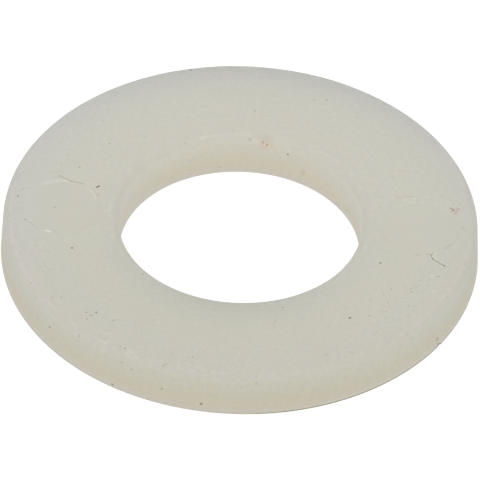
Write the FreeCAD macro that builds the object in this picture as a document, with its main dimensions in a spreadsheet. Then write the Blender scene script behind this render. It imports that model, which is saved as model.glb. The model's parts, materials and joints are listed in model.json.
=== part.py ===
import FreeCAD, Part
import math
import os
import Sketcher

# A plain flat washer for an M10 bolt, injection moulded in one piece from natural nylon.
#
# Frame: millimetres. The origin is the centre of the bore at the lower face, and +Z runs up
# through the bore to the upper face. The upper face is the one the mould's ejector pins push
# on, and +X runs from the origin through one of their two marks.
#
# The lower face lies on the mould's parting plane, so its two edges are sharp. The rim has a
# little draft, and the two upper edges are rounded, as the bottom of the cavity makes them.

# The driving dimensions, in millimetres, or degrees for the angle.
DRIVING = {
    "outer_diameter": 21.0,
    "bore_diameter": 10.5,
    "thickness": 2.0,
    "rim_draft_angle": 3.0,
    "rim_edge_radius": 0.28,
    "bore_edge_radius": 0.42,
    "ejector_mark_diameter": 3.4,
    "ejector_mark_depth": 0.05,
}

SHEET_NAME = "sizes"
WASHER_NODE = "washer"

# How far the volume that the ejector marks take away may be from what their sizes give.
VOLUME_MATCH = 0.01

# The sketcher's numbers for the ends and the centre of a line or an arc, and for its axes.
START, END, CENTRE = 1, 2, 3
X_AXIS = -1
ORIGIN = (-1, 1)


def add_sizes_sheet(doc):
    """The spreadsheet that drives every size: a name in column A, its value in column B."""
    sheet = doc.addObject("Spreadsheet::Sheet", SHEET_NAME)
    for row, (name, value) in enumerate(DRIVING.items(), start=1):
        sheet.set(f"A{row}", name)
        sheet.set(f"B{row}", str(value))
        sheet.setAlias(f"B{row}", name)
    doc.recompute()


def origin_plane(body, role):
    """One of the body's own origin planes, such as XY_Plane."""
    for feature in body.Origin.OriginFeatures:
        if feature.Role == role:
            return feature
    raise LookupError(f"{body.Label} has no {role}")


def add_sketch(body, name, role):
    """An empty sketch that lies on one of the body's origin planes."""
    sketch = body.newObject("Sketcher::SketchObject", name)
    sketch.AttachmentSupport = [(origin_plane(body, role), "")]
    sketch.MapMode = "FlatFace"
    return sketch


def bind(sketch, name, constraint, expression):
    """Add a named dimension to a sketch and drive it from the spreadsheet."""
    index = sketch.addConstraint(constraint)
    sketch.renameConstraint(index, name)
    sketch.setExpression(f"Constraints.{name}", expression)


def arc(centre_x, centre_z, radius, start_degrees, end_degrees):
    """An arc of a circle in a sketch, anticlockwise from its start to its end."""
    circle = Part.Circle(FreeCAD.Vector(centre_x, centre_z, 0), FreeCAD.Vector(0, 0, 1), radius)
    return Part.ArcOfCircle(circle, math.radians(start_degrees), math.radians(end_degrees))


def line(start_x, start_z, end_x, end_z):
    """A straight line in a sketch."""
    return Part.LineSegment(FreeCAD.Vector(start_x, start_z, 0), FreeCAD.Vector(end_x, end_z, 0))


def add_ring(body):
    """The ring itself: its cross-section, turned once around Z."""
    bore = DRIVING["bore_diameter"] / 2
    rim = DRIVING["outer_diameter"] / 2
    top = DRIVING["thickness"]
    rim_round = DRIVING["rim_edge_radius"]
    bore_round = DRIVING["bore_edge_radius"]

    # Drawn anticlockwise from the bore's lower edge, close to its shape; the constraints make
    # it exact.
    section = add_sketch(body, "cross_section", "XZ_Plane")
    outline = [
        line(bore, 0, rim, 0),
        line(rim, 0, rim, top - rim_round),
        arc(rim - rim_round, top - rim_round, rim_round, 0, 90),
        line(rim - rim_round, top, bore + bore_round, top),
        arc(bore + bore_round, top - bore_round, bore_round, 90, 180),
        line(bore, top - bore_round, bore, 0),
    ]
    for piece in outline:
        section.addGeometry(piece, False)
    lower_face, rim_wall, rim_edge, upper_face, bore_edge, bore_wall = range(6)

    Constraint = Sketcher.Constraint
    for before, after in ((lower_face, rim_wall), (bore_wall, lower_face)):
        section.addConstraint(Constraint("Coincident", before, END, after, START))
    for before in (rim_wall, rim_edge, upper_face, bore_edge):
        section.addConstraint(Constraint("Tangent", before, END, before + 1, START))
    section.addConstraint(Constraint("PointOnObject", lower_face, START, X_AXIS))
    section.addConstraint(Constraint("Horizontal", lower_face))
    section.addConstraint(Constraint("Horizontal", upper_face))
    section.addConstraint(Constraint("Vertical", bore_wall))

    bind(
        section,
        "bore_radius",
        Constraint("DistanceX", *ORIGIN, lower_face, START, bore),
        f"{SHEET_NAME}.bore_diameter / 2",
    )
    bind(
        section,
        "rim_radius",
        Constraint("DistanceX", *ORIGIN, lower_face, END, rim),
        f"{SHEET_NAME}.outer_diameter / 2",
    )
    bind(
        section,
        "height",
        Constraint("DistanceY", *ORIGIN, upper_face, START, top),
        f"{SHEET_NAME}.thickness",
    )
    bind(
        section,
        "rim_slope",
        Constraint("Angle", rim_wall, math.radians(90)),
        f"90 deg + {SHEET_NAME}.rim_draft_angle * 1 deg",
    )
    bind(
        section,
        "rim_edge_radius",
        Constraint("Radius", rim_edge, rim_round),
        f"{SHEET_NAME}.rim_edge_radius",
    )
    bind(
        section,
        "bore_edge_radius",
        Constraint("Radius", bore_edge, bore_round),
        f"{SHEET_NAME}.bore_edge_radius",
    )

    ring = body.newObject("PartDesign::Revolution", "ring")
    ring.Profile = (section, [""])
    ring.ReferenceAxis = (section, ["V_Axis"])
    ring.Angle = 360
    return ring


def add_ejector_marks(body):
    """Two shallow round recesses in the upper face, opposite each other on X."""
    reach = (DRIVING["outer_diameter"] + DRIVING["bore_diameter"]) / 4
    diameter = DRIVING["ejector_mark_diameter"]

    outlines = add_sketch(body, "ejector_mark_outlines", "XY_Plane")
    outlines.setExpression("AttachmentOffset.Base.z", f"{SHEET_NAME}.thickness")
    for side in (1, -1):
        centre = FreeCAD.Vector(side * reach, 0, 0)
        circle = Part.Circle(centre, FreeCAD.Vector(0, 0, 1), diameter / 2)
        outlines.addGeometry(circle, False)
    right, left = range(2)

    Constraint = Sketcher.Constraint
    outlines.addConstraint(Constraint("PointOnObject", right, CENTRE, X_AXIS))
    outlines.addConstraint(Constraint("Symmetric", right, CENTRE, left, CENTRE, *ORIGIN))
    outlines.addConstraint(Constraint("Equal", right, left))
    bind(
        outlines,
        "midway_from_bore_to_rim",
        Constraint("DistanceX", *ORIGIN, right, CENTRE, reach),
        f"({SHEET_NAME}.outer_diameter + {SHEET_NAME}.bore_diameter) / 4",
    )
    bind(
        outlines,
        "mark_diameter",
        Constraint("Diameter", right, diameter),
        f"{SHEET_NAME}.ejector_mark_diameter",
    )

    recesses = body.newObject("PartDesign::Pocket", "ejector_marks")
    recesses.Profile = (outlines, [""])
    recesses.Type = "Length"
    recesses.setExpression("Length", f"{SHEET_NAME}.ejector_mark_depth")
    return recesses


def check_recesses(removed):
    """The recesses have to take away what their sizes say, and not point out of the solid."""
    area = math.pi * DRIVING["ejector_mark_diameter"] ** 2 / 4
    expected = 2 * area * DRIVING["ejector_mark_depth"]
    if abs(removed - expected) > VOLUME_MATCH * expected:
        raise ValueError(f"the ejector marks took away {removed} mm3, not {expected} mm3")


def build_washer(doc):
    """The whole washer, as one PartDesign body."""
    body = doc.addObject("PartDesign::Body", "Washer")
    body.Label = WASHER_NODE
    body.Placement = FreeCAD.Placement(FreeCAD.Vector(0, 0, 0), FreeCAD.Rotation())
    ring = add_ring(body)
    doc.recompute()
    recesses = add_ejector_marks(body)
    doc.recompute()
    check_recesses(ring.Shape.Volume - recesses.Shape.Volume)
    return body


def check_document(doc, subparts):
    """Stop before anything is written if an object failed or a shape isn't a sound solid."""
    for item in doc.Objects:
        if {"Invalid", "Error"} & set(item.State):
            raise ValueError(f"{item.Label} failed: {item.State}")
    for subpart in subparts:
        shape = subpart.Shape
        if shape.isNull() or not shape.isValid() or len(shape.Solids) != 1:
            raise ValueError(f"{subpart.Label} isn't one valid solid")


def write_subparts(subparts):
    """One STEP file for each sub-part, named by its Label."""
    os.makedirs("parts", exist_ok=True)
    for subpart in subparts:
        subpart.Shape.exportStep(f"parts/{subpart.Label}.step")
        box = subpart.Shape.optimalBoundingBox(False)
        size = f"{box.XLength:.3f} x {box.YLength:.3f} x {box.ZLength:.3f} mm"
        print(f"{subpart.Label}: {size}, {subpart.Shape.Volume:.2f} mm3")


doc = FreeCAD.newDocument("flat_washer")
add_sizes_sheet(doc)
subparts = [build_washer(doc)]
check_document(doc, subparts)
write_subparts(subparts)
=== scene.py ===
import json
import math
import random

import bmesh
import bpy
import numpy as np
from mathutils import Matrix, Vector, noise
from mathutils.kdtree import KDTree


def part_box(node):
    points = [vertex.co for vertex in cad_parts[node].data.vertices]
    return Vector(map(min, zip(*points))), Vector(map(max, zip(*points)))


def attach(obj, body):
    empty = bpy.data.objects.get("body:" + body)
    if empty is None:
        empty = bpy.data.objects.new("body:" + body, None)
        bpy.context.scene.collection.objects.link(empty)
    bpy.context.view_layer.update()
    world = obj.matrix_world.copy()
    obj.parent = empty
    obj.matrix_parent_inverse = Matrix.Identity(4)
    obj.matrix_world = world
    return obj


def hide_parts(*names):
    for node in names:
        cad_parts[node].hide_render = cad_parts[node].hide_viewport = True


# An injection-moulded natural-nylon flat washer on a pale floor.
#
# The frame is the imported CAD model's: the origin is the bore's centre at the lower face, +Z
# runs up to the upper face, and +X runs through one of the two ejector-pin marks. Lengths in
# this script are millimetres and angles are degrees; MM turns a length into Blender's metres.
MM = 0.001

NODE = "washer"

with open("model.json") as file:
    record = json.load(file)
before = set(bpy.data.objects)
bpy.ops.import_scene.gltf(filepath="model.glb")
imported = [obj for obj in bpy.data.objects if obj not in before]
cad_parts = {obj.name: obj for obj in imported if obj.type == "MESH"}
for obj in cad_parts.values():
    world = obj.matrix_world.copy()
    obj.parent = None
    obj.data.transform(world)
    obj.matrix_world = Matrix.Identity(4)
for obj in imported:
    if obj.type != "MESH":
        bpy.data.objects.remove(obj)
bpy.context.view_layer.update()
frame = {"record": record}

# Sizes that the frame gives.
lowest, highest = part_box(NODE)
mounts = {mount["name"]: mount for mount in frame["record"]["mounts"]}
bore = mounts["bolt_hole"]["dims"]
RIM_RADIUS = (highest.x - lowest.x) / 2 / MM
TOP = highest.z / MM
BORE_RADIUS = bore["r_mm"]
BORE_ROUND = TOP - bore["length_mm"]
MARK_PITCH = mounts["upper_face"]["pos_m"][1] / MM

# Sizes that the design gives and the frame doesn't name.
RIM_ROUND = 0.28
RIM_DRAFT = 3.0
MARK_RADIUS = 1.7
MARK_DEPTH = 0.05

# Half the width of the soft step at the edge of an ejector mark.
MARK_STEP = 0.07

# The mould's parting edges, round the lower face, are sharp to the eye but not to the touch.
SHARP_ROUND = 0.035

# The bore as it comes out of the mould: a hair over its nominal radius at the lower face, and
# opened towards the upper face by the draft on the mould's core.
BORE_FOOT = BORE_RADIUS + 0.035
BORE_DRAFT = 1.0

# How finely the ring is divided before its small marks are worked in.
TURN_STEPS = 480
SHARP_ROUND_STEPS = 3
RIM_ROUND_STEPS = 9
BORE_ROUND_STEPS = 12
UPPER_SPACING = 0.14
WALL_SPACING = 0.13
LOWER_SPACING = 0.45

# How many times the faces beside a mark are then halved: fewest for the faint painted
# highlights by the edges, most for the marks that stand out.
FAINT_REFINEMENTS = 1
REFINEMENTS = 2
FINE_REFINEMENTS = 3

# The surface counts as facing up where its normal's Z is above this.
UPWARD = 0.9

# The gate's place round the rim.
GATE_TURN = -31.3

# Seeds, so that every run gives the same washer.
SPECK_SEED = 11
EDGE_HIGHLIGHT_SEED = 5


# ---------------------------------------------------------------- the ring's cross-section


def arc(centre_r, centre_z, radius, start, end, steps):
    """Points along an arc of the cross-section, from one angle to another."""
    turns = [math.radians(start + (end - start) * step / steps) for step in range(steps + 1)]
    return [(centre_r + radius * math.cos(t), centre_z + radius * math.sin(t)) for t in turns]


def straight(start, end, spacing, first_points):
    """Points between two ends of a straight stretch, some close to its start, one to its end."""
    length = math.dist(start, end)
    steps = math.ceil(length / spacing)
    close = SHARP_ROUND / length
    shares = [close * (1 + point / 2) for point in range(first_points)]
    shares += [step / steps for step in range(1, steps)]
    shares.append(1 - close)
    return [
        (start[0] + (end[0] - start[0]) * share, start[1] + (end[1] - start[1]) * share)
        for share in shares
    ]


def rim_centre(height, radius):
    """Radius at which an edge round of the drafted rim wall has its centre, at a height."""
    draft = math.radians(RIM_DRAFT)
    return RIM_RADIUS - (height * math.sin(draft) + radius) / math.cos(draft)


def bore_centre(height, radius):
    """Radius at which an edge round of the drafted bore wall has its centre, at a height."""
    draft = math.radians(BORE_DRAFT)
    return BORE_FOOT + (height * math.sin(draft) + radius) / math.cos(draft)


def cross_section():
    """The ring's outline as (radius, height) points, anticlockwise from the bore's lower edge."""
    low, rim_high, bore_high = SHARP_ROUND, TOP - RIM_ROUND, TOP - BORE_ROUND
    bore_way, rim_way = 180 - BORE_DRAFT, RIM_DRAFT
    bore_low_r, rim_low_r = bore_centre(low, SHARP_ROUND), rim_centre(low, SHARP_ROUND)
    rim_high_r, bore_high_r = rim_centre(rim_high, RIM_ROUND), bore_centre(bore_high, BORE_ROUND)
    corners = [
        arc(bore_low_r, low, SHARP_ROUND, bore_way, 270, SHARP_ROUND_STEPS),
        arc(rim_low_r, low, SHARP_ROUND, 270, 360 + rim_way, SHARP_ROUND_STEPS),
        arc(rim_high_r, rim_high, RIM_ROUND, rim_way, 90, RIM_ROUND_STEPS),
        arc(bore_high_r, bore_high, BORE_ROUND, 90, bore_way, BORE_ROUND_STEPS),
    ]
    spacings = [LOWER_SPACING, WALL_SPACING, UPPER_SPACING, WALL_SPACING]
    # The rim's wall has a second point close to its foot, where the painted contact shade stops short.
    first_points = [1, 2, 1, 1]
    outline = []
    for index, corner in enumerate(corners):
        following = corners[(index + 1) % len(corners)]
        outline += corner
        outline += straight(corner[-1], following[0], spacings[index], first_points[index])
    return outline


def turned_ring(outline):
    """A closed mesh: the cross-section turned once round Z."""
    mesh = bmesh.new()
    rows = []
    for step in range(TURN_STEPS):
        turn = math.tau * step / TURN_STEPS
        across, along = math.cos(turn), math.sin(turn)
        rows.append([mesh.verts.new((r * across, r * along, z)) for r, z in outline])
    for row, following in zip(rows, rows[1:] + rows[:1]):
        for index in range(len(outline)):
            after = (index + 1) % len(outline)
            mesh.faces.new((row[index], following[index], following[after], row[after]))
    return mesh


# ---------------------------------------------------------------- places on the washer


def on_upper(x, y):
    """A place on the upper face."""
    return Vector((x, y, TOP))


def on_edge(angle, outwards):
    """A place beside the line where the upper face turns over into the rim's edge round."""
    turn = math.radians(angle)
    radius = rim_centre(TOP - RIM_ROUND, RIM_ROUND) + outwards
    return Vector((radius * math.cos(turn), radius * math.sin(turn), TOP))


def on_rim(angle, height):
    """A place on the rim's wall."""
    radius = RIM_RADIUS - height * math.tan(math.radians(RIM_DRAFT))
    turn = math.radians(angle)
    return Vector((radius * math.cos(turn), radius * math.sin(turn), height))


def on_bore(angle, height):
    """A place on the bore's wall, or on the round above it."""
    spring = TOP - BORE_ROUND
    if height < spring:
        radius = BORE_FOOT + height * math.tan(math.radians(BORE_DRAFT))
    else:
        radius = bore_centre(spring, BORE_ROUND) - math.sqrt(BORE_ROUND**2 - (height - spring) ** 2)
    turn = math.radians(angle)
    return Vector((radius * math.cos(turn), radius * math.sin(turn), height))


# ---------------------------------------------------------------- dirt, scratches and nicks, with painted highlights and shade

# Light wanders through nylon before it leaves, which washes its colours out, so a tint has to
# be strong to show.
BLACK_DIRT = (0.035, 0.031, 0.024)
GREY_DIRT = (0.34, 0.32, 0.28)
PALE_DIRT = (0.72, 0.70, 0.66)
PINK_DIRT = (0.72, 0.49, 0.51)
PURPLE_DIRT = (0.30, 0.14, 0.20)
PINK_STAIN = (0.99, 0.85, 0.86)
BROWN_STAIN = (0.85, 0.78, 0.72)
# Pale scuffs, which along the ejector marks' edges are painted highlights too.
SCUFF_AND_HIGHLIGHT = (1.10, 1.10, 1.11)
# Painted highlight along the edges that face the front.
EDGE_HIGHLIGHT = (1.07, 1.07, 1.08)
# A painted glint on the lip of an ejector mark.
LIP_GLINT = (1.40, 1.40, 1.45)

# The dirt in a scratch is its shade of grey, turned a little brown.
SCRATCH_BROWN = (1.0, 0.98, 0.95)

# How far a speck sinks in, against its own radius, and how far a scuff stands up.
SPECK_SINKS = 0.12
STREWN_SPECK_SINKS = 0.1
SCUFF_RISE = 0.004


class Blemish:
    """A small mark: a path on the surface, its half-width, how far it sinks in, its tint, and
    how many times the faces beside it are halved.
    """

    def __init__(self, path, half_width, sinks, tint, refinements=REFINEMENTS):
        self.path = path
        self.half_width = half_width
        self.sinks = sinks
        self.tint = tint
        self.refinements = refinements

    def distances(self, places):
        """Distance from every place to the path."""
        if len(self.path) == 1:
            return np.linalg.norm(places - np.array(self.path[0]), axis=1)
        nearest = np.full(len(places), np.inf)
        for start, end in zip(self.path, self.path[1:]):
            start, end = np.array(start), np.array(end)
            along = (places - start) @ (end - start) / ((end - start) @ (end - start))
            foot = start + np.clip(along, 0, 1)[:, None] * (end - start)
            nearest = np.minimum(nearest, np.linalg.norm(places - foot, axis=1))
        return nearest

    def anchors(self, spacing):
        """Places along the path, close enough together to find every face beside it."""
        found = list(self.path[:1])
        for start, end in zip(self.path, self.path[1:]):
            steps = math.ceil((end - start).length / spacing)
            found += [start.lerp(end, step / steps) for step in range(1, steps + 1)]
        return found


def specks_seen():
    """The specks of dirt that stand out, each listed one by one."""
    # Each speck has its place and its radius.
    black = [
        (on_upper(5.1, -6.1), 0.06),
        (on_rim(-95.6, 0.43), 0.078),
        (on_rim(-118.0, 0.16), 0.08),
    ]
    grey = [
        (on_upper(6.25, -2.45), 0.058),
        (on_upper(-7.2, -2.65), 0.062),
        (on_upper(-5.83, -6.73), 0.048),
        (on_upper(-6.05, -6.93), 0.045),
        (on_upper(-6.27, -6.77), 0.045),
        (on_upper(-9.83, 0.53), 0.055),
        (on_upper(9.3, 1.3), 0.055),
        (on_upper(3.35, 8.2), 0.045),
        (on_upper(-4.45, -8.9), 0.045),
        (on_rim(-105.2, 0.85), 0.05),
        (on_rim(-138.6, 1.14), 0.055),
        (on_bore(102.8, 0.34), 0.05),
        (on_bore(70.0, 1.46), 0.055),
    ]
    pale = [
        (on_upper(-7.3, 2.7), 0.065),
        (on_upper(-6.1, 4.4), 0.055),
        (on_upper(2.8, 8.2), 0.045),
        (on_upper(0.2, 7.2), 0.055),
        (on_upper(7.7, 1.83), 0.05),
        (on_upper(9.75, 0.2), 0.05),
        (on_upper(-5.06, -7.17), 0.06),
        (on_upper(-2.72, -9.84), 0.055),
        (on_upper(-2.62, -9.74), 0.06),
        (on_upper(-6.2, -7.2), 0.045),
        (on_upper(-7.4, -5.9), 0.055),
        (on_upper(-7.8, -5.9), 0.045),
        (on_upper(-8.8, -5.1), 0.06),
        (on_upper(-4.0, -4.1), 0.055),
        (on_upper(-4.6, -8.8), 0.045),
        (on_upper(-1.5, -9.2), 0.055),
        (on_upper(1.9, -6.6), 0.045),
        (on_upper(2.2, -5.7), 0.05),
        (on_upper(4.2, -8.5), 0.045),
        (on_upper(5.3, -8.3), 0.05),
        (on_upper(6.8, -4.1), 0.055),
        (on_upper(7.65, -3.97), 0.05),
        (on_upper(7.7, -4.2), 0.045),
        (on_upper(7.6, -5.1), 0.055),
        (on_upper(8.8, -3.1), 0.05),
        (on_rim(-143.6, 1.0), 0.05),
        (on_rim(-128.6, 1.84), 0.06),
        (on_rim(-115.8, 1.6), 0.055),
        (on_rim(-113.1, 1.42), 0.055),
        (on_rim(-82.8, 1.73), 0.06),
        (on_bore(119.6, 1.95), 0.05),
        (on_bore(89.1, 1.85), 0.08),
    ]
    pink = [
        (on_upper(9.39, 1.11), 0.055),
        (on_upper(9.44, 1.27), 0.05),
        (on_upper(9.49, 1.41), 0.06),
        (on_upper(9.22, 1.2), 0.045),
        (on_bore(82.8, 1.79), 0.07),
        (on_bore(80.7, 1.72), 0.06),
    ]
    blemishes = []
    for specks, tint in ((black, BLACK_DIRT), (grey, GREY_DIRT), (pale, PALE_DIRT), (pink, PINK_DIRT)):
        for place, radius in specks:
            blemishes.append(Blemish([place], radius, SPECK_SINKS * radius, tint, FINE_REFINEMENTS))
    purple = [on_upper(-2.85, 9.77)]
    blemishes.append(Blemish(purple, 0.085, 0.01, PURPLE_DIRT, FINE_REFINEMENTS))
    biggest = [on_upper(-6.42, 1.43), on_upper(-6.34, 1.5)]
    blemishes.append(Blemish(biggest, 0.05, 0.01, BLACK_DIRT, FINE_REFINEMENTS))
    return blemishes


def specks_strewn():
    """The faint specks, dark and pale, strewn at random over every face."""
    draw = random.Random(SPECK_SEED)
    smallest, largest = 0.03, 0.055
    clear_of_foot = 0.1
    blemishes = []

    def strew(count, place_at, dark, light):
        """Strew so many specks, in shades from dark to light, where place_at says."""
        for _ in range(count):
            radius = draw.uniform(smallest, largest)
            shade = draw.uniform(dark, light)
            tint = (shade, shade, shade)
            blemishes.append(Blemish([place_at()], radius, STREWN_SPECK_SINKS * radius, tint))

    def anywhere_flat(height):
        """Anywhere on a flat face but in an ejector mark."""
        inner, outer = bore_centre(TOP - BORE_ROUND, BORE_ROUND), RIM_RADIUS - RIM_ROUND
        while True:
            radius = math.sqrt(draw.uniform(inner**2, outer**2))
            turn = draw.uniform(0, math.tau)
            x, y = radius * math.cos(turn), radius * math.sin(turn)
            if math.hypot(abs(x) - MARK_PITCH, y) > MARK_RADIUS:
                return Vector((x, y, height))

    def pitted_patch():
        """In the rougher part of the upper face: towards the rim, on the gate's side."""
        past_gate, turn_spread = 6, 16
        usual_radius, radius_spread = 9.0, 0.6
        while True:
            turn = math.radians(GATE_TURN + draw.gauss(past_gate, turn_spread))
            radius = min(draw.gauss(usual_radius, radius_spread), RIM_RADIUS - RIM_ROUND)
            x, y = radius * math.cos(turn), radius * math.sin(turn)
            if math.hypot(x - MARK_PITCH, y) > MARK_RADIUS:
                return on_upper(x, y)

    def anywhere_rim():
        return on_rim(draw.uniform(-180, 180), draw.uniform(clear_of_foot, TOP - RIM_ROUND))

    def anywhere_bore():
        return on_bore(draw.uniform(-180, 180), draw.uniform(clear_of_foot, TOP - BORE_ROUND))

    # How many, where, the darkest and the lightest.
    strew(70, lambda: anywhere_flat(TOP), 0.80, 0.96)
    strew(30, lambda: anywhere_flat(TOP), 1.05, 1.13)
    strew(45, pitted_patch, 0.76, 0.94)
    strew(24, pitted_patch, 1.05, 1.13)
    strew(30, anywhere_rim, 0.76, 0.95)
    strew(14, anywhere_bore, 0.76, 0.95)
    strew(18, lambda: anywhere_flat(0.0), 0.76, 0.95)
    return blemishes


def scratches():
    """Fine scratches and scuffs by the ejector marks, some with dirt in them, partly painted light and
    shade at the marks' edges.
    """
    left_hair = [on_upper(-8.11, 2.05), on_upper(-7.87, 1.89), on_upper(-7.56, 1.72)]
    left_hair += [on_upper(-7.28, 1.68), on_upper(-7.01, 1.59)]
    left_stroke = [on_upper(-9.25, -1.08), on_upper(-9.12, -1.16), on_upper(-8.94, -1.36)]
    left_edge = [on_upper(-9.85, 0.84), on_upper(-9.62, 1.05), on_upper(-9.37, 1.21)]
    right_tail = [on_upper(7.76, -1.77), on_upper(8.1, -1.72), on_upper(8.41, -1.62)]
    right_hook = [on_upper(8.5, -1.55), on_upper(8.44, -1.68)]
    right_hook += [on_upper(8.46, -1.84), on_upper(8.57, -2.03), on_upper(8.79, -2.19)]
    right_hook += [on_upper(9.04, -2.39)]
    right_line = [on_upper(6.75, 1.95), on_upper(7.15, 2.04), on_upper(7.5, 2.06)]
    right_edge = [on_upper(9.0, -1.24), on_upper(9.14, -1.07), on_upper(9.28, -0.94)]
    # Each dark line, dirt in a scratch and at the marks' edges painted shade too, has its path, its
    # half-width, how far it sinks in and its shade.
    dirt_and_shade = [
        (left_hair, 0.036, 0.012, 0.66),
        (left_stroke, 0.04, 0.01, 0.7),
        ([on_upper(-9.38, -0.98)], 0.05, 0.006, 0.55),
        (left_edge, 0.035, 0.01, 0.85),
        ([on_upper(-8.18, 0.0)], 0.07, 0.004, 0.8),
        (right_tail, 0.036, 0.008, 0.68),
        (right_hook, 0.03, 0.02, 0.38),
        ([right_hook[-1]], 0.06, 0.01, 0.42),
        (right_line, 0.03, 0.01, 0.82),
        (right_edge, 0.035, 0.01, 0.8),
        ([on_upper(8.2, -1.7), on_upper(8.41, -1.64)], 0.034, 0.008, 0.7),
        ([on_upper(9.16, 1.45), on_upper(9.28, 1.33)], 0.034, 0.008, 0.55),
        ([on_upper(-6.58, 1.29), on_upper(-6.27, 0.76)], 0.03, 0.01, 0.85),
    ]
    blemishes = []
    for path, half_width, sinks, shade in dirt_and_shade:
        tint = tuple(shade * part for part in SCRATCH_BROWN)
        blemishes.append(Blemish(path, half_width, sinks, tint, FINE_REFINEMENTS))
    # Each scuff, at the marks' edges a painted highlight too, has its path, its half-width and its
    # tint.
    scuffs_and_highlights = [
        ([on_upper(-8.82, 1.49), on_upper(-8.43, 1.66)], 0.07, SCUFF_AND_HIGHLIGHT),
        ([on_upper(-8.3, 1.72), on_upper(-7.95, 1.78), on_upper(-7.7, 1.74)], 0.06, SCUFF_AND_HIGHLIGHT),
        ([on_upper(-6.68, 1.2), on_upper(-6.52, 0.98), on_upper(-6.4, 0.68)], 0.05, SCUFF_AND_HIGHLIGHT),
        ([on_upper(-8.6, -1.56), on_upper(-8.1, -1.66)], 0.05, SCUFF_AND_HIGHLIGHT),
        ([on_upper(-8.4, -1.62), on_upper(-8.28, -1.65)], 0.085, LIP_GLINT),
        ([on_upper(7.08, 1.78), on_upper(7.4, 1.88), on_upper(7.6, 1.9)], 0.07, SCUFF_AND_HIGHLIGHT),
        ([on_upper(8.63, -1.66), on_upper(8.56, -1.78)], 0.05, SCUFF_AND_HIGHLIGHT),
    ]
    for path, half_width, tint in scuffs_and_highlights:
        blemishes.append(Blemish(path, half_width, -SCUFF_RISE, tint))
    return blemishes


def edge_highlights():
    """Painted highlights: a pale line by the bore's upper edge, and flecks along the rim's, on the -Y
    side.
    """
    bore_line = [on_upper(-2.09, 5.17), on_upper(-1.44, 5.39), on_upper(-0.78, 5.53)]
    bore_line.append(on_upper(0.1, 5.58))
    blemishes = [Blemish(bore_line, 0.09, -SCUFF_RISE, EDGE_HIGHLIGHT, FAINT_REFINEMENTS)]
    draw = random.Random(EDGE_HIGHLIGHT_SEED)
    count = 15
    rubbed_from, rubbed_to = -122, -90
    for _ in range(count):
        turn = draw.uniform(rubbed_from, rubbed_to)
        outwards = draw.triangular(-0.35, 0.1, 0.0)
        end_turn = turn + draw.uniform(0.3, 1.4)
        half_width = draw.uniform(0.06, 0.1)
        path = [on_edge(turn, outwards), on_edge(end_turn, outwards)]
        blemishes.append(Blemish(path, half_width, 0.0, EDGE_HIGHLIGHT, FAINT_REFINEMENTS))
    return blemishes


def stains():
    """Soft patches of colour: pink round the pink specks, brown on the bore's wall."""
    return [
        Blemish([on_upper(9.38, 1.28)], 0.25, 0.0, PINK_STAIN),
        Blemish([on_bore(81.5, 1.8)], 0.4, 0.0, PINK_STAIN),
        Blemish([on_bore(61.5, 0.71)], 0.18, 0.0, BROWN_STAIN),
    ]


def gate_nick():
    """Where the moulding was broken off its runner: a short dark nick up from the parting edge."""
    nick = [on_rim(GATE_TURN + 0.6, 0.04), on_rim(GATE_TURN, 0.3), on_rim(GATE_TURN - 0.1, 0.55)]
    lip = [on_rim(GATE_TURN + 1.6, 0.05), on_rim(GATE_TURN + 1.5, 0.25)]
    nick_depth, lip_rise = 0.05, 0.012
    return [
        # The nick's dark grey is dirt and painted shade in the dent.
        Blemish(nick, 0.08, nick_depth, GREY_DIRT, FINE_REFINEMENTS),
        Blemish(lip, 0.09, -lip_rise, SCUFF_AND_HIGHLIGHT, FINE_REFINEMENTS),
    ]


# ---------------------------------------------------------------- the nylon's tone, with painted light and shade


def smooth_step(values, start, end):
    """0 before start, 1 after end, and a smooth rise between them."""
    share = np.clip((values - start) / (end - start), 0, 1)
    return share * share * (3 - 2 * share)


def patchiness(places, lump):
    """A smooth random value from 0 to 1 at every place, in lumps so many millimetres across."""
    values = np.array([noise.noise(Vector(place) / lump) for place in places])
    return np.clip(0.5 + values, 0, 1)


def radii_of(places):
    """How far every place is from the washer's axis."""
    return np.hypot(places[:, 0], places[:, 1])


# The walls' painted light and shade against the upper face's colour: a creamier painted shade
# at the foot, greyer at the brow, and the heights between which the one turns into the other.
FOOT_PAINTED_SHADE = (1.02, 0.97, 0.765)
BROW_PAINTED_TINT = (0.98, 1.02, 1.03)
FOOT_HEIGHT = 0.3
BROW_HEIGHT = 1.5
# The bore's wall has painted light on it, which makes it a little paler than the rim's.
BORE_PAINTED_LIGHT = (1.20, 1.14, 1.12)
# The upper face has painted light and shade: a touch paler towards +Y and darker towards -Y.
UPPER_PAINTED_LIGHT = (0.075, 0.075, 0.07)
# It has a painted bluish shade near the rim, most of all on the -X side, from one radius and wholly
# from another.
RIM_BLUISH_SHADE = 0.04
RIM_BLUISH_SHADE_SIDEWAYS = 0.6
RIM_BLUISH_SHADE_BEGINS = 7.5
RIM_BLUISH_SHADE_WHOLE = 9.5


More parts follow.
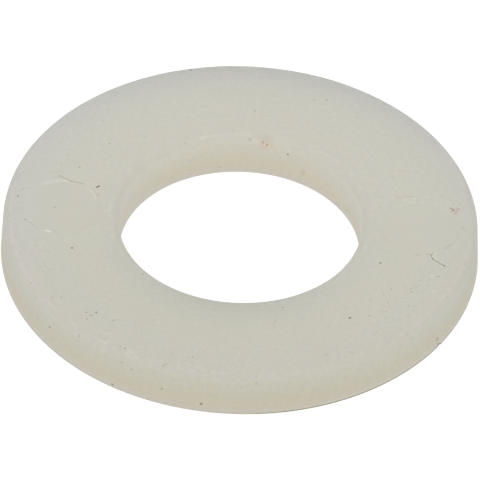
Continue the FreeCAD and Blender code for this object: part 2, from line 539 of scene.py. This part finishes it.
def painted_light_tone(places, normals):
    """Painted light and shade, as a tint for every place: how the colour differs from face to face."""
    upright, level = 0.2, 0.8
    radii = radii_of(places)
    wall = 1 - smooth_step(np.abs(normals[:, 2]), upright, level)
    up_the_wall = smooth_step(places[:, 2], FOOT_HEIGHT, BROW_HEIGHT)[:, None]
    wall_painted_tone = np.array(FOOT_PAINTED_SHADE) + up_the_wall * (np.array(BROW_PAINTED_TINT) - np.array(FOOT_PAINTED_SHADE))
    wall_painted_tone[radii < (BORE_RADIUS + RIM_RADIUS) / 2] *= BORE_PAINTED_LIGHT
    flat_painted_tone = 1 + np.outer(places[:, 1] / RIM_RADIUS, UPPER_PAINTED_LIGHT)
    near_rim = smooth_step(radii, RIM_BLUISH_SHADE_BEGINS, RIM_BLUISH_SHADE_WHOLE)
    flat_painted_tone[:, 2] *= 1 + RIM_BLUISH_SHADE * near_rim * (1 - RIM_BLUISH_SHADE_SIDEWAYS * places[:, 0] / RIM_RADIUS)
    return flat_painted_tone + wall[:, None] * (wall_painted_tone - flat_painted_tone)


def edge_wear_and_highlight(places):
    """Pale rubbed lines, patchy, where the upper face turns over into its two edge rounds: wear and a
    painted highlight.
    """
    most = 0.055
    untouched, rubbed, lump = 0.4, 0.9, 0.35
    core, reach = 0.02, 0.11
    below_top = 0.05
    radii = radii_of(places)
    rim_line = rim_centre(TOP - RIM_ROUND, RIM_ROUND)
    bore_line = bore_centre(TOP - BORE_ROUND, BORE_ROUND)
    off_line = np.minimum(np.abs(radii - rim_line), np.abs(radii - bore_line))
    band = (1 - smooth_step(off_line, core, reach)) * (places[:, 2] > TOP - below_top)
    return 1 + most * band * smooth_step(patchiness(places, lump), untouched, rubbed)


def foot_contact_shade(places):
    """Painted contact shade in the line round the foot of the rim's wall, a thin dark line near the
    gate.
    """
    middle = GATE_TURN - 15
    heavy_within, light_beyond = 30, 90
    # Where it is light, and what changes where it is heavy: higher, sharper and darker.
    height, higher = 0.05, 0.02
    fades_over, sharper = 0.09, 0.0725
    darkness, darker = 0.55, 0.42
    into_rim = 0.1

    turns = np.degrees(np.arctan2(places[:, 1], places[:, 0]))
    heavy = 1 - smooth_step(np.abs(turns - middle), heavy_within, light_beyond)
    fade = (places[:, 2] - height - higher * heavy) / (fades_over - sharper * heavy)
    foot = (1 - smooth_step(fade, 0, 1)) * (radii_of(places) > RIM_RADIUS - into_rim)
    return 1 - (darkness + darker * heavy) * foot


def pitting(places, normals):
    """How uneven the upper face is, from 0 to 1: in patches towards the rim, on the -Y side."""
    smooth_within, rough_beyond = 7.0, 8.8
    fades_over = 3.0
    even, uneven, lump = 0.35, 0.75, 1.1
    region = smooth_step(radii_of(places), smooth_within, rough_beyond)
    region *= smooth_step(-places[:, 1], 0.0, fades_over)
    return region * (normals[:, 2] > UPWARD) * smooth_step(patchiness(places, lump), even, uneven)


# ---------------------------------------------------------------- working the marks in


def refine(mesh, places):
    """Halve the edges of the faces near each (place, reach, refinements), that many times."""
    size = max(UPPER_SPACING, WALL_SPACING)
    for level in range(FINE_REFINEMENTS):
        mesh.faces.index_update()
        mesh.edges.index_update()
        mesh.faces.ensure_lookup_table()
        mesh.edges.ensure_lookup_table()
        tree = KDTree(len(mesh.faces))
        for face in mesh.faces:
            tree.insert(face.calc_center_median(), face.index)
        tree.balance()
        near = set()
        for place, reach, refinements in places:
            if refinements > level:
                near.update(index for _, index, _ in tree.find_range(place, reach + size))
        edges = {edge.index for index in near for edge in mesh.faces[index].edges}
        chosen = [mesh.edges[index] for index in sorted(edges)]
        bmesh.ops.subdivide_edges(mesh, edges=chosen, cuts=1, use_grid_fill=True)
        size /= 2


def mark_outline(centre_x):
    """(place, reach, refinements) along the step at the edge of an ejector mark."""
    steps = 120
    reach = 0.05
    turns = [math.tau * step / steps for step in range(steps)]
    places = [(centre_x + MARK_RADIUS * math.cos(t), MARK_RADIUS * math.sin(t)) for t in turns]
    return [(on_upper(x, y), reach, REFINEMENTS) for x, y in places]


def places_to_refine(blemishes):
    """(place, reach, refinements) all along the blemishes and round the two ejector marks."""
    spacing = 0.05
    margin = 1.2
    places = []
    for blemish in blemishes:
        for anchor in blemish.anchors(spacing):
            places.append((anchor, margin * blemish.half_width, blemish.refinements))
    for centre_x in (-MARK_PITCH, MARK_PITCH):
        places += mark_outline(centre_x)
    return places


def mark_recess(places, normals):
    """How far down in an ejector mark every place is, from 0 outside to 1 on the mark's floor."""
    recess = np.zeros(len(places))
    for centre_x in (-MARK_PITCH, MARK_PITCH):
        away = np.hypot(places[:, 0] - centre_x, places[:, 1])
        inside = 1 - smooth_step(away, MARK_RADIUS - MARK_STEP, MARK_RADIUS + MARK_STEP)
        recess = np.maximum(recess, (normals[:, 2] > UPWARD) * inside)
    return recess


def unevenness(places):
    """How far the surface rises and falls, in millimetres, dying away towards its lower face."""
    swell, lump = 0.008, 2.2
    level_below, uneven_above = 0.1, 0.5
    above_foot = smooth_step(places[:, 2], level_below, uneven_above)
    return above_foot * swell * (patchiness(places, lump) - 0.5)


def marked(places, blemishes, tint):
    """How far the blemishes raise every place, and its tint with theirs worked in."""
    # Against its half-width, a blemish is whole out to its core and gone at its fringe.
    core, fringe = 0.35, 1.3
    raggedness, lump = 0.5, 0.07
    ragged = 1 - raggedness / 2 + raggedness * patchiness(places, lump)
    rise = np.zeros(len(places))
    for blemish in blemishes:
        share = ragged * blemish.distances(places) / blemish.half_width
        weight = 1 - smooth_step(share, core, fringe)
        rise -= blemish.sinks * weight
        tint = tint * (1 - weight[:, None] * (1 - np.array(blemish.tint)))
    return rise, tint


# ---------------------------------------------------------------- the washer


def moulded_washer():
    """The washer as one closed mesh, with its marks as shape and as vertex colour, and painted light
    and shade in that colour too.
    """
    # Among these marks are painted highlights and painted shade along the edges and the ejector marks.
    blemishes = specks_seen() + specks_strewn() + scratches() + edge_highlights() + gate_nick()
    mesh = turned_ring(cross_section())
    refine(mesh, places_to_refine(blemishes))
    bmesh.ops.triangulate(mesh, faces=[face for face in mesh.faces if len(face.verts) > 4])
    mesh.normal_update()

    places = np.array([vert.co for vert in mesh.verts])
    normals = np.array([vert.normal for vert in mesh.verts])
    pits = pitting(places, normals)
    polish = mark_recess(places, normals)
    # Painted light and shade on the faces, wear with a painted highlight on the edges, and painted
    # contact shade at the rim's foot.
    painted_tone = painted_light_tone(places, normals) * (edge_wear_and_highlight(places) * foot_contact_shade(places))[:, None]
    rise, tint = marked(places, blemishes + stains(), painted_tone)
    rise -= MARK_DEPTH * polish
    rise += unevenness(places)

    moved = places + normals * rise[:, None]
    moved[:, 2] = np.maximum(moved[:, 2], 0.0)
    for vert, place in zip(mesh.verts, moved):
        vert.co = place
    mesh.transform(Matrix.Scale(MM, 4))

    data = bpy.data.meshes.new("washer_moulding")
    mesh.to_mesh(data)
    mesh.free()
    data.shade_smooth()
    colours = data.color_attributes.new("tint", "FLOAT_COLOR", "POINT")
    colours.data.foreach_set("color", np.column_stack([tint, np.ones(len(tint))]).ravel())
    for name, values in (("polish", polish), ("pitting", pits)):
        data.attributes.new(name, "FLOAT", "POINT").data.foreach_set("value", values)
    washer = bpy.data.objects.new("washer_moulding", data)
    bpy.context.scene.collection.objects.link(washer)
    return washer


# ---------------------------------------------------------------- materials

# The nylon's colour, from its darker clouds to its paler ones, and how big the clouds are.
NYLON_DARKER = (0.612, 0.628, 0.521, 1)
NYLON_PALER = (0.632, 0.648, 0.541, 1)
CLOUDS = 2.6

# How far the mottle and the pitted patches' speckle turn the colour down and up, and how big
# their lumps are.
MOTTLE = 0.2
MOTTLE_RANGE = (0.970, 1.030)
SPECKLE = 0.12
SPECKLE_RANGE = (0.95, 1.04)

# How rough the nylon is, and what an ejector mark adds to that.
SATIN_RANGE = (0.44, 0.56)
MARK_ROUGHNESS = -0.08

# The surface's relief: the size of its grain and its ripples, the ripples' height against the
# grain's, and the height of the whole.
GRAIN = 0.09
RIPPLE = 0.5
RIPPLE_SHARE = 1.6
RELIEF = 0.006

# How far light wanders under the surface, and its share of that in red, green and blue.
SCATTER = 18
SCATTER_SHARES = (1.0, 1.0, 0.85)

# The range that a noise texture seldom leaves.
NOISE_RANGE = (0.3, 0.7)


def node(tree, kind, place, **settings):
    """Add a shader node, with its settings."""
    made = tree.nodes.new(kind)
    made.location = place
    for name, value in settings.items():
        setattr(made, name, value)
    return made


def noise_node(tree, place, position, grain, detail):
    """A noise texture whose lumps are about grain millimetres across."""
    texture = node(tree, "ShaderNodeTexNoise", place)
    texture.inputs["Scale"].default_value = 1 / (grain * MM)
    texture.inputs["Detail"].default_value = detail
    tree.links.new(position, texture.inputs["Vector"])
    return texture.outputs["Fac"]


def ranged(tree, place, value, low, high):
    """Map a noise's usual range to the range from low to high."""
    mapped = node(tree, "ShaderNodeMapRange", place)
    mapped.inputs["From Min"].default_value = NOISE_RANGE[0]
    mapped.inputs["From Max"].default_value = NOISE_RANGE[1]
    mapped.inputs["To Min"].default_value = low
    mapped.inputs["To Max"].default_value = high
    tree.links.new(value, mapped.inputs["Value"])
    return mapped.outputs["Result"]


def nylon():
    """Natural nylon: satin, milky, and translucent enough for light to bleed round its edges."""
    material = bpy.data.materials.new("natural_nylon_moulded")
    material.use_nodes = True
    tree = material.node_tree
    link = tree.links.new
    shader = tree.nodes["Principled BSDF"]
    position = node(tree, "ShaderNodeTexCoord", (-1500, 0)).outputs["Object"]

    polish = node(tree, "ShaderNodeAttribute", (-1500, -450), attribute_name="polish").outputs["Fac"]
    clouds = noise_node(tree, (-1250, 300), position, CLOUDS, 3)
    mottle = noise_node(tree, (-1250, 50), position, MOTTLE, 3)
    speckle = noise_node(tree, (-1250, -100), position, SPECKLE, 2)

    cloudy = node(tree, "ShaderNodeMix", (-950, 300), data_type="RGBA")
    cloudy.inputs["A"].default_value = NYLON_DARKER
    cloudy.inputs["B"].default_value = NYLON_PALER
    link(clouds, cloudy.inputs["Factor"])

    # The pitted patches are more mottled than the rest, and the polished marks are plainer.
    pits = node(tree, "ShaderNodeAttribute", (-1500, 150), attribute_name="pitting").outputs["Fac"]
    uneven = node(tree, "ShaderNodeMix", (-850, 50), data_type="FLOAT")
    link(pits, uneven.inputs["Factor"])
    link(ranged(tree, (-1050, 100), mottle, *MOTTLE_RANGE), uneven.inputs["A"])
    link(ranged(tree, (-1050, -50), speckle, *SPECKLE_RANGE), uneven.inputs["B"])
    even = node(tree, "ShaderNodeMix", (-700, 50), data_type="FLOAT")
    even.inputs["B"].default_value = 1.0
    link(polish, even.inputs["Factor"])
    link(uneven.outputs["Result"], even.inputs["A"])
    fine = node(tree, "ShaderNodeVectorMath", (-550, 250), operation="SCALE")
    link(cloudy.outputs["Result"], fine.inputs[0])
    link(even.outputs["Result"], fine.inputs["Scale"])

    tint = node(tree, "ShaderNodeAttribute", (-950, 550), attribute_name="tint")
    tinted = node(tree, "ShaderNodeVectorMath", (-350, 350), operation="MULTIPLY")
    link(fine.outputs["Vector"], tinted.inputs[0])
    link(tint.outputs["Color"], tinted.inputs[1])
    link(tinted.outputs["Vector"], shader.inputs["Base Color"])

    satin = ranged(tree, (-950, -200), mottle, *SATIN_RANGE)
    polished = node(tree, "ShaderNodeMath", (-650, -250), operation="MULTIPLY_ADD")
    polished.inputs[1].default_value = MARK_ROUGHNESS
    link(polish, polished.inputs[0])
    link(satin, polished.inputs[2])
    link(polished.outputs["Value"], shader.inputs["Roughness"])

    grain = noise_node(tree, (-1250, -750), position, GRAIN, 3)
    ripple = noise_node(tree, (-1250, -1000), position, RIPPLE, 1)
    both = node(tree, "ShaderNodeMath", (-900, -850), operation="MULTIPLY_ADD")
    both.inputs[1].default_value = RIPPLE_SHARE
    link(ripple, both.inputs[0])
    link(grain, both.inputs[2])
    bump = node(tree, "ShaderNodeBump", (-500, -700))
    bump.inputs["Strength"].default_value = 0.5
    bump.inputs["Distance"].default_value = RELIEF * MM
    link(both.outputs["Value"], bump.inputs["Height"])
    link(bump.outputs["Normal"], shader.inputs["Normal"])

    shader.subsurface_method = "RANDOM_WALK"
    shader.inputs["Subsurface Weight"].default_value = 1.0
    shader.inputs["Subsurface Radius"].default_value = SCATTER_SHARES
    shader.inputs["Subsurface Scale"].default_value = SCATTER * MM
    shader.inputs["IOR"].default_value = 1.53
    shader.inputs["Specular IOR Level"].default_value = 0.25
    return material


def floor_paint():
    """The floor's matt white, with the faintest tooth, glowing like a light table."""
    tooth_size = 1.2
    matt_range = (0.75, 0.85)
    white = (1.0, 1.0, 1.0, 1)
    dull_white = (0.45, 0.45, 0.45, 1)
    material = bpy.data.materials.new("matt_white")
    material.use_nodes = True
    tree = material.node_tree
    shader = tree.nodes["Principled BSDF"]
    position = node(tree, "ShaderNodeTexCoord", (-900, 0)).outputs["Object"]
    tooth = noise_node(tree, (-650, 0), position, tooth_size, 2)
    tree.links.new(ranged(tree, (-350, 0), tooth, *matt_range), shader.inputs["Roughness"])
    shader.inputs["Base Color"].default_value = dull_white
    shader.inputs["Specular IOR Level"].default_value = 0.0
    shader.inputs["Emission Color"].default_value = white
    shader.inputs["Emission Strength"].default_value = 0.8
    return material


# ---------------------------------------------------------------- the set


def pale_floor():
    """A wide round floor, just under the washer's lower face."""
    reach = 3000.0
    gap = 0.004
    mesh = bmesh.new()
    bmesh.ops.create_circle(mesh, cap_ends=True, segments=96, radius=reach * MM)
    data = bpy.data.meshes.new("pale_floor")
    mesh.to_mesh(data)
    mesh.free()
    floor = bpy.data.objects.new("pale_floor", data)
    floor.location.z = lowest.z - gap * MM
    floor.data.materials.append(floor_paint())
    bpy.context.scene.collection.objects.link(floor)
    # Only the camera sees the floor, which is bright enough to lose the washer's shadow. What
    # lights the washer from below is the surround, so the white floor doesn't wash it out.
    floor.visible_diffuse = False
    floor.visible_glossy = False
    floor.visible_transmission = False
    floor.visible_shadow = False
    return floor


def direction(azimuth, elevation):
    """The direction of a place seen from the washer: azimuth 0 is the front, 90 the right."""
    a, e = math.radians(azimuth), math.radians(elevation)
    return Vector((math.sin(a) * math.cos(e), -math.cos(a) * math.cos(e), math.sin(e)))


# The soft boxes: azimuth, elevation, width across as the washer sees it, strength and colour.
SOFT_BOXES = {
    "front_box": (0, 50, 90, 0.82, (1.0, 1.0, 1.0)),
    "left_box": (-85, 50, 70, 0.88, (1.0, 1.0, 1.0)),
    "right_box": (85, 50, 70, 0.78, (1.0, 1.0, 1.0)),
    "back_box": (180, 18, 30, 0.32, (1.0, 1.0, 0.78)),
    "top_box": (0, 90, 60, 0.19, (1.0, 1.0, 1.0)),
}


def soft_boxes():
    """Broad soft lights round the washer."""
    for name, (azimuth, elevation, width, strength, colour) in SOFT_BOXES.items():
        data = bpy.data.lights.new(name, "SUN")
        data.energy = strength
        data.color = colour
        data.angle = math.radians(width)
        light = bpy.data.objects.new(name, data)
        light.rotation_mode = "QUATERNION"
        light.rotation_quaternion = direction(azimuth, elevation).to_track_quat("Z", "Y")
        bpy.context.scene.collection.objects.link(light)


def surround():
    """The world: dim above, brighter below, and warm below in front."""
    grey, warm, dim = (0.555, 0.555, 0.55, 1), (0.595, 0.435, 0.21, 1), (0.065, 0.065, 0.065, 1)
    # How far to the front, as a direction's Y, the warm part begins and is whole.
    warm_begins, warm_whole = -0.3, -0.7
    world = bpy.data.worlds.new("surround")
    world.use_nodes = True
    tree = world.node_tree
    link = tree.links.new
    towards = node(tree, "ShaderNodeTexCoord", (-1100, 0)).outputs["Generated"]
    axes = node(tree, "ShaderNodeSeparateXYZ", (-900, 0))
    link(towards, axes.inputs["Vector"])

    in_front = node(tree, "ShaderNodeMapRange", (-700, 200), interpolation_type="SMOOTHSTEP")
    in_front.inputs["From Min"].default_value = warm_begins
    in_front.inputs["From Max"].default_value = warm_whole
    link(axes.outputs["Y"], in_front.inputs["Value"])
    below = node(tree, "ShaderNodeMix", (-450, 200), data_type="RGBA")
    below.inputs["A"].default_value = grey
    below.inputs["B"].default_value = warm
    link(in_front.outputs["Result"], below.inputs["Factor"])

    overhead = node(tree, "ShaderNodeMath", (-700, -150), operation="GREATER_THAN")
    overhead.inputs[1].default_value = 0.0
    link(axes.outputs["Z"], overhead.inputs[0])
    around = node(tree, "ShaderNodeMix", (-200, 0), data_type="RGBA")
    around.inputs["B"].default_value = dim
    link(overhead.outputs["Value"], around.inputs["Factor"])
    link(below.outputs["Result"], around.inputs["A"])
    link(around.outputs["Result"], tree.nodes["Background"].inputs["Color"])
    bpy.context.scene.world = world


def camera():
    """A long lens from the front, 42 degrees up, held with a slight tilt to one side."""
    azimuth, elevation, roll = 2.19, 41.76, -1.95
    distance = 315.0
    lens = 537.7
    below_middle = 0.248
    back = direction(azimuth, elevation)
    right = Vector((0, 0, 1)).cross(back).normalized()
    up = back.cross(right)
    r = math.radians(roll)
    camera_x = math.cos(r) * right - math.sin(r) * up
    camera_y = math.sin(r) * right + math.cos(r) * up
    aim = Vector((0, 0, TOP / 2)) - below_middle * camera_y

    data = bpy.data.cameras.new("camera")
    data.sensor_width = 36
    data.lens = lens
    data.clip_start = 10 * MM
    data.clip_end = 3000 * MM
    made = bpy.data.objects.new("camera", data)
    turn = Matrix((camera_x, camera_y, back)).transposed().to_4x4()
    made.matrix_world = Matrix.Translation((aim + distance * back) * MM) @ turn
    bpy.context.scene.collection.objects.link(made)
    bpy.context.scene.camera = made


washer = moulded_washer()
washer.data.materials.append(nylon())
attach(washer, "root")
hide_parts(NODE)

pale_floor()
soft_boxes()
surround()
camera()
bpy.context.scene.view_settings.view_transform = "Standard"
